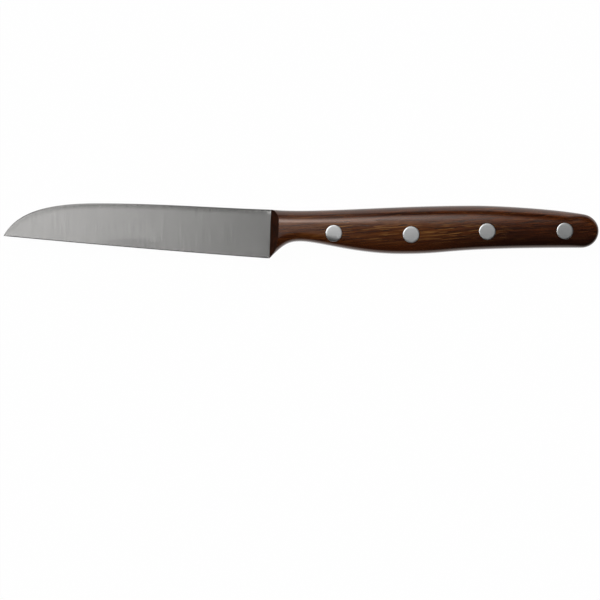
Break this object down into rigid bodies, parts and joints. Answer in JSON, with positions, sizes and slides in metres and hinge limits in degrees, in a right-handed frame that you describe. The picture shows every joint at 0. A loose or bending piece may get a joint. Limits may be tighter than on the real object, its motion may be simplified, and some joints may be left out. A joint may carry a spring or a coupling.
{
  "type": "paring knife",
  "caption": "Fixed-blade paring knife: straight edge, curved nose, full-length tang between crowned wooden scales with flush round rivets.",
  "frame": {"origin": "middle of the knife's outline, on the surface that it lies on", "axes": "+X along the knife from tip to butt, +Y from the cutting edge to the spine, +Z out of its left side, through the thickness"},
  "size_m": [0.2115, 0.0196, 0.0134],
  "materials": {
    "steel": "satin, finely ground across the blade",
    "walnut": "oiled walnut, sanded smooth",
    "rivet_aluminium": "ground flush and polished"
  },
  "bodies": {
    "root": {"blade": "steel", "scale_left": "walnut", "scale_right": "walnut", "rivet_socket_1": "rivet_aluminium", "rivet_socket_2": "rivet_aluminium", "rivet_socket_3": "rivet_aluminium", "rivet_socket_4": "rivet_aluminium", "rivet_stud_1": "rivet_aluminium", "rivet_stud_2": "rivet_aluminium", "rivet_stud_3": "rivet_aluminium", "rivet_stud_4": "rivet_aluminium"}
  },
  "joints": []
}
